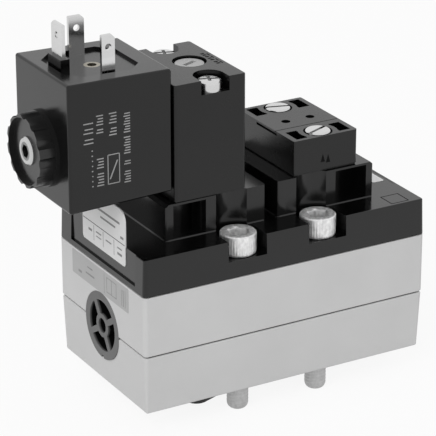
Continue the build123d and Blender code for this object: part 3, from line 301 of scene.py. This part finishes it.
def rects(*rows):
    return [rect(*row) for row in rows]


# Places on a face of the part: two coordinates along it and a height over it
def on_left(x):
    return lambda u, v, w: (x - w, u, v)


def on_front(y):
    return lambda u, v, w: (u, y - w, v)


def on_top(z):
    return lambda u, v, w: (u, v, z + w)


# The front of the coil leans back towards the knob
def on_coil_front(u, v, w):
    share = (u + 60.3) / 30.3
    return (u, -15.3 + 0.4 * share - w, v)


# Materials of the plates, the prints and the socket screws
LABEL = {"strength": 0.05, "depth": FINE}
FLAT = {"strength": 0.0}
label_white = plain("label_white", (0.66, 0.72), (0.30, 0.38), **LABEL)
label_bright = plain("label_bright", (0.88, 0.92), (0.30, 0.38), **LABEL)
label_grey = plain("label_grey", (0.37, 0.41), (0.32, 0.40), **LABEL)
ink = plain("ink_black", (0.03, 0.05), (0.45, 0.55), **FLAT)
ink_soft = plain("ink_grey", (0.16, 0.22), (0.45, 0.55), **FLAT)
ink_print = plain("ink_print", (0.24, 0.36), (0.40, 0.50), **FLAT)
ink_faint = plain("ink_faint", (0.003, 0.006), (0.85, 0.95), **FLAT)
ink_side = plain("ink_side", (0.20, 0.27), (0.40, 0.50), **FLAT)
dull(ink_faint, 0.15)

SCREW_X, SCREW_Y = 12.5, 19.0
SCREW_SOCKET_RADIUS = 3.0
SHANK_BRIGHT_Z, SHANK_DARK_Z = 0.0090, 0.0080
screw_zinc = plain("screw_zinc", (0.66, 0.94), (0.50, 0.72), metallic=1.0, grain=2600.0,
                   strength=0.60, depth=0.00008, stretch=(1, 1, 0.6), patch=1300.0)
# Painted shade: the screws are darkened in their sockets and on their ends below the castings
darken_sockets(screw_zinc, (SCREW_X, SCREW_Y, 0.0), (1, 1, 0), SCREW_SOCKET_RADIUS, 0.84)
darken(screw_zinc, "Z", SHANK_BRIGHT_Z, SHANK_DARK_Z, 0.68)

# Type plate behind the cover's left end. Its near upper corner has the larger radius.
PLATE_X = -43.62
PLATE_THICK = 0.35
PRINT_THICK = 0.02
CORNER_Y, CORNER_Z, CORNER_RADIUS = -10.1, 51.4, 3.4
near_corner = []
for i in range(9):
    a = math.pi / 16 * i
    near_corner.append((CORNER_Y - CORNER_RADIUS * math.sin(a),
                        CORNER_Z + CORNER_RADIUS * math.cos(a)))
plate_outline = rounded(-13.5, 39.0, 11.0, 54.8, 1.0)
plate_outline = [p for p in plate_outline if not (p[0] < -12.0 and p[1] > 50.0)]
cut = next(i for i, p in enumerate(plate_outline) if p[0] < -12.0)
plate_outline = plate_outline[:cut] + near_corner + plate_outline[cut:]
piece("type_plate", prisms(on_left(PLATE_X), [plate_outline], -PLATE_THICK, 0.0), label_white)
plate_rules = rects((-13.2, 45.0, 10.7, 45.22), (4.4, 40.2, 4.55, 44.6), (-1.0, 40.2, -0.85, 44.6),
                    (-7.2, 40.2, -7.05, 44.6))
piece("type_plate_rules", prisms(on_left(PLATE_X), plate_rules, 0.0, PRINT_THICK), ink)
plate_bars = rects((-10.5, 50.1, 3.0, 50.75), (-8.0, 48.2, 0.5, 48.75), (-12.6, 46.4, -10.8, 47.1),
                   (5.6, 42.3, 7.6, 43.0), (0.2, 43.0, 3.2, 43.4), (0.2, 41.8, 3.2, 42.1),
                   (-11.6, 41.2, -9.0, 41.9), (-11.6, 43.0, -9.0, 43.4), (-5.6, 42.6, -2.4, 43.0))
piece("type_plate_bars", prisms(on_left(PLATE_X), plate_bars, 0.0, PRINT_THICK), ink_soft)

# Side plate on the left end of the upper casting, with a plain symbol and rules
SIDE_X = -44.0
SIDE_PROUD = 0.03
side_outline = rounded(-15.7, 26.5, 17.0, 33.5, 0.4)
piece("side_plate", prisms(on_left(SIDE_X), [side_outline], -0.2, SIDE_PROUD), label_grey)
side_marks = rects((-1.9, 27.2, -1.75, 32.9), (-13.9, 27.4, -13.7, 32.4),
                   (-12.9, 27.4, -12.5, 32.2), (-11.8, 27.4, -11.6, 32.0),
                   (-8.8, 28.0, -8.6, 32.4), (-8.8, 32.2, -3.2, 32.4), (-3.4, 28.6, -3.2, 32.4),
                   (-8.8, 28.0, -3.2, 28.2), (-6.1, 28.0, -5.9, 32.4), (4.0, 29.0, 9.0, 29.5),
                   (5.0, 31.0, 8.0, 31.4), (11.4, 27.9, 13.4, 28.6))
piece("side_plate_marks", prisms(on_left(SIDE_X - SIDE_PROUD), side_marks, 0.0, PRINT_THICK),
      ink_side)

# Pale print on the front of the coil: rows of plain strokes and a boxed symbol, all without words.
# Each row has its middle, its height, the pitch of its strokes and pairs of ends along Z.
STROKE_WIDTH = 0.32
STROKE_TRIM = 0.12
PRINT_ROWS = (
    (-54.6, 2.8, 1.05, (76.4, 78.4, 79.2, 81.0, 81.8, 83.2)),
    (-53.6, 0.4, 1.40, (64.4, 75.6)),
    (-51.3, 2.0, 0.80, (64.3, 68.2, 69.2, 72.2, 78.8, 80.0, 81.0, 84.2)),
    (-47.5, 2.2, 0.85, (77.6, 80.0, 80.9, 84.3)),
    (-43.4, 1.9, 0.72, (63.8, 67.4, 68.8, 70.4, 71.8, 76.6, 77.6, 83.6)),
)
coil_print = []
for row_u, tall, pitch, spans in PRINT_ROWS:
    for low_z, high_z in zip(spans[::2], spans[1::2]):
        for k in range(int((high_z - low_z) / pitch + 0.5)):
            stroke_z = low_z + k * pitch
            stroke_u = row_u - tall / 2 + STROKE_TRIM * tall * (k % 3)
            coil_print.append(rect(stroke_u, stroke_z, row_u + tall / 2, stroke_z + STROKE_WIDTH))
BOX_U, BOX_V = -49.2, 64.2
BOX_WIDE, BOX_TALL, BOX_LINE = 3.6, 8.25, 0.25
far_u, far_v = BOX_U + BOX_WIDE, BOX_V + BOX_TALL
coil_print += rects((BOX_U, BOX_V, far_u, BOX_V + BOX_LINE),
                    (BOX_U, far_v - BOX_LINE, far_u, far_v),
                    (BOX_U, BOX_V, BOX_U + BOX_LINE, far_v),
                    (far_u - BOX_LINE, BOX_V, far_u, far_v))
slant = ((0.5, 1.4), (0.9, 1.4), (3.1, 6.4), (2.7, 6.4))
coil_print.append([(BOX_U + u, BOX_V + v) for u, v in slant])
piece("coil_print", prisms(on_coil_front, coil_print, 0.0, 0.012), ink_print)

# Small marks on the pilot valve and the blanking plate, and the label on the right end of the cover
MARK_THICK = 0.01
PILOT_TOP_Z, PLATE_FRONT_Y, COVER_TOP_Z = 87.8, -14.7, 44.7
pilot_marks = [rect(-11.2, y, -10.1, y + 0.8) for y in (-5.6, -4.3, -2.4, -1.1, 0.4, 1.8, 3.0)]
pilot_marks += [rect(-9.7, y, -9.3, y + 1.6) for y in (-5.6, -3.4, -0.8, 1.4)]
piece("pilot_marks", prisms(on_top(PILOT_TOP_Z), pilot_marks, 0.0, MARK_THICK), ink_faint)
triangles = [[(15.9, 57.6), (17.3, 57.6), (16.6, 60.0)], [(17.6, 57.2), (19.0, 57.2), (18.3, 59.6)]]
piece("plate_mark", prisms(on_front(PLATE_FRONT_Y), triangles, 0.0, MARK_THICK), ink_faint)
label_outline = rounded(38.0, -7.4, 41.7, 12.0, 0.5)
piece("right_label", prisms(on_top(COVER_TOP_Z), [label_outline], 0.0, 0.05), label_bright)
# A dark line across the cover top, just inside its right top edge
dark_edge_line = rect(42.6, -10.5, 43.2, 12.4)
piece("right_label_line", prisms(on_top(COVER_TOP_Z), [dark_edge_line], 0.0, PRINT_THICK), ink)


# Turns rows of (radius, height), or functions of the angle that give them, round a vertical line
def lathe(bm, rows, n, cx, cy):
    rings = []
    for row in rows:
        made = []
        for i in range(n):
            a = 2 * math.pi * i / n
            radius, z = row(a, i) if callable(row) else row
            made.append(bm.verts.new((cx + radius * math.cos(a), cy + radius * math.sin(a), z)))
        rings.append(made)
    for low_ring, high_ring in zip(rings, rings[1:]):
        for i in range(n):
            j = (i + 1) % n
            bm.faces.new((low_ring[i], low_ring[j], high_ring[j], high_ring[i]))
    bm.faces.new(list(reversed(rings[0])))
    bm.faces.new(rings[-1])


def knurl(radius, z, depth=0.10):
    return lambda a, i: (radius - (depth if i % 3 == 0 else 0.0), z)


def hexagon(across, z, turn=0.2):
    def row(a, i):
        inside = (a - turn) % (math.pi / 3) - math.pi / 6
        return (across / 2 / math.cos(inside), z)
    return row


def thread(z, crest, depth, pitch=1.0):
    def row(a, i):
        phase = (z / pitch - a / (2 * math.pi)) % 1.0
        tooth = abs(2 * phase - 1)
        return (crest - depth * min(1.0, max(0.0, 1.3 * tooth - 0.15)), z)
    return row


# Socket head screws with knurled heads, hexagon sockets and fine threads on rounded ends
SCREW_SIDES = 120
THREAD_STEPS = 48
THREAD_LOW, THREAD_LENGTH = -5.4, 5.3
tip = [(1.45, -7.2), (1.95, -7.1), (2.35, -6.85), (2.65, -6.5), (2.85, -6.05), (2.95, -5.6)]
turns = [thread(THREAD_LOW + THREAD_LENGTH * k / THREAD_STEPS, 2.98, 0.06)
         for k in range(THREAD_STEPS + 1)]
shank = [(2.95, 0.0), (2.95, 39.0)]
head = [(4.3, 39.0), (4.7, 39.15), knurl(4.9, 39.45, 0.16), knurl(5.0, 39.9), knurl(5.0, 44.1),
        (4.98, 44.25), (4.98, 44.7), (4.7, 45.0)]
socket = [(3.1, 45.0), hexagon(5.15, 44.75), hexagon(5.0, 44.6), hexagon(5.0, 42.2), (0.6, 41.6)]


def make_screws(bm):
    for cx in (-SCREW_X, SCREW_X):
        for cy in (-SCREW_Y, SCREW_Y):
            lathe(bm, tip + turns + shank + head + socket, SCREW_SIDES, cx, cy)


screws = piece("socket_screws", make_screws, screw_zinc, smooth=35)
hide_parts("mounting_screws")


# The two coil springs of the spool and the armature
def make_spring(start, end, mean, wire, middle_z, turns=4, steps=28, sides=8):
    def make(bm):
        pitch = (end - start) / turns
        climb = math.atan2(pitch, 2 * math.pi * mean)
        rows = []
        for i in range(turns * steps + 1):
            a = 2 * math.pi * i / steps
            x = start + pitch * i / steps
            row = []
            for k in range(sides):
                b = 2 * math.pi * k / sides
                out, along = wire * math.cos(b), wire * math.sin(b)
                radius = mean + out
                side = -along * math.sin(climb)
                y = radius * math.cos(a) - side * math.sin(a)
                z = radius * math.sin(a) + side * math.cos(a)
                row.append(bm.verts.new((x + along * math.cos(climb), y, middle_z + z)))
            rows.append(row)
        for low_row, high_row in zip(rows, rows[1:]):
            for k in range(sides):
                j = (k + 1) % sides
                bm.faces.new((low_row[k], low_row[j], high_row[j], high_row[k]))
        bm.faces.new(list(reversed(rows[0])))
        bm.faces.new(rows[-1])
    return make


spool_spring = piece("spool_spring_coils", make_spring(28.86, 38.75, 3.6, 0.45, 16.8), wire_steel,
                     smooth=60)
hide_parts("return_spring")
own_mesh(spool_spring)
light_spring = piece("armature_spring_coils", make_spring(-48.75, -42.65, 1.5, 0.25, TUBE_Z),
                     wire_steel, smooth=60)
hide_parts("armature_spring")
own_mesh(light_spring)


# Whether a ray is one of the kinds named
def any_ray(nodes, links, *kinds):
    path = nodes.new("ShaderNodeLightPath")
    found = path.outputs[kinds[0]]
    for kind in kinds[1:]:
        most = nodes.new("ShaderNodeMath")
        most.operation = "MAXIMUM"
        links.new(found, most.inputs[0])
        links.new(path.outputs[kind], most.inputs[1])
        found = most.outputs[0]
    return found


# Pale floor below the screw ends: mostly plain white to the camera, but it keeps the shadow
FLOOR_HALF = 6.0
FLOOR_LIGHTNESS = 0.88
FLOOR_WHITE_SHARE = 0.9
low = cad_box[0][2]
floor_mesh = bpy.data.meshes.new("floor")
floor = bpy.data.objects.new("floor", floor_mesh)
bpy.context.scene.collection.objects.link(floor)
floor_edge = rect(-FLOOR_HALF, -FLOOR_HALF, FLOOR_HALF, FLOOR_HALF)
floor_mesh.from_pydata([(x, y, low) for x, y in floor_edge], [], [(0, 1, 2, 3)])
floor_mesh.update()
mat, nodes, links, bsdf = new_material("floor_white")
bsdf.inputs["Base Color"].default_value = (FLOOR_LIGHTNESS, FLOOR_LIGHTNESS, FLOOR_LIGHTNESS, 1)
bsdf.inputs["Roughness"].default_value = 0.9
bsdf.inputs["Specular IOR Level"].default_value = 0.0
glow = nodes.new("ShaderNodeEmission")
glow.inputs["Color"].default_value = (1, 1, 1, 1)
glow.inputs["Strength"].default_value = 1.0
share = nodes.new("ShaderNodeMath")
share.operation = "MULTIPLY"
share.inputs[1].default_value = FLOOR_WHITE_SHARE
links.new(any_ray(nodes, links, "Is Camera Ray", "Is Glossy Ray"), share.inputs[0])
mix = nodes.new("ShaderNodeMixShader")
links.new(share.outputs[0], mix.inputs["Fac"])
links.new(bsdf.outputs["BSDF"], mix.inputs[1])
links.new(glow.outputs["Emission"], mix.inputs[2])
links.new(mix.outputs["Shader"], nodes["Material Output"].inputs["Surface"])
floor_mesh.materials.append(mat)

# White surround, softer where it lights the object
SURROUND_LIGHT = 0.62
SURROUND_SEEN = 1.0
world = bpy.data.worlds.new("surround")
bpy.context.scene.world = world
world.use_nodes = True
nodes, links = world.node_tree.nodes, world.node_tree.links
background = nodes["Background"]
background.inputs["Color"].default_value = (1, 1, 1, 1)
level = nodes.new("ShaderNodeMapRange")
level.inputs["To Min"].default_value = SURROUND_LIGHT
level.inputs["To Max"].default_value = SURROUND_SEEN
links.new(any_ray(nodes, links, "Is Camera Ray", "Is Glossy Ray", "Is Transmission Ray"),
          level.inputs["Value"])
links.new(level.outputs["Result"], background.inputs["Strength"])

# Soft lamps, aimed at the middle of the castings and hidden from reflections
LAMP_TARGET = Vector((0, 0, 0.04))


def lamp(name, place, width, power):
    data = bpy.data.lights.new(name, "AREA")
    data.shape = "SQUARE"
    data.size = width
    data.energy = power
    obj = bpy.data.objects.new(name, data)
    bpy.context.scene.collection.objects.link(obj)
    obj.location = place
    obj.rotation_euler = (LAMP_TARGET - Vector(place)).to_track_quat("-Z", "Y").to_euler()
    obj.visible_glossy = False


lamp("key", (-1.1, -0.86, 1.15), 0.9, 11.4)
lamp("fill", (0.7, -1.2, 0.6), 1.0, 0.8)
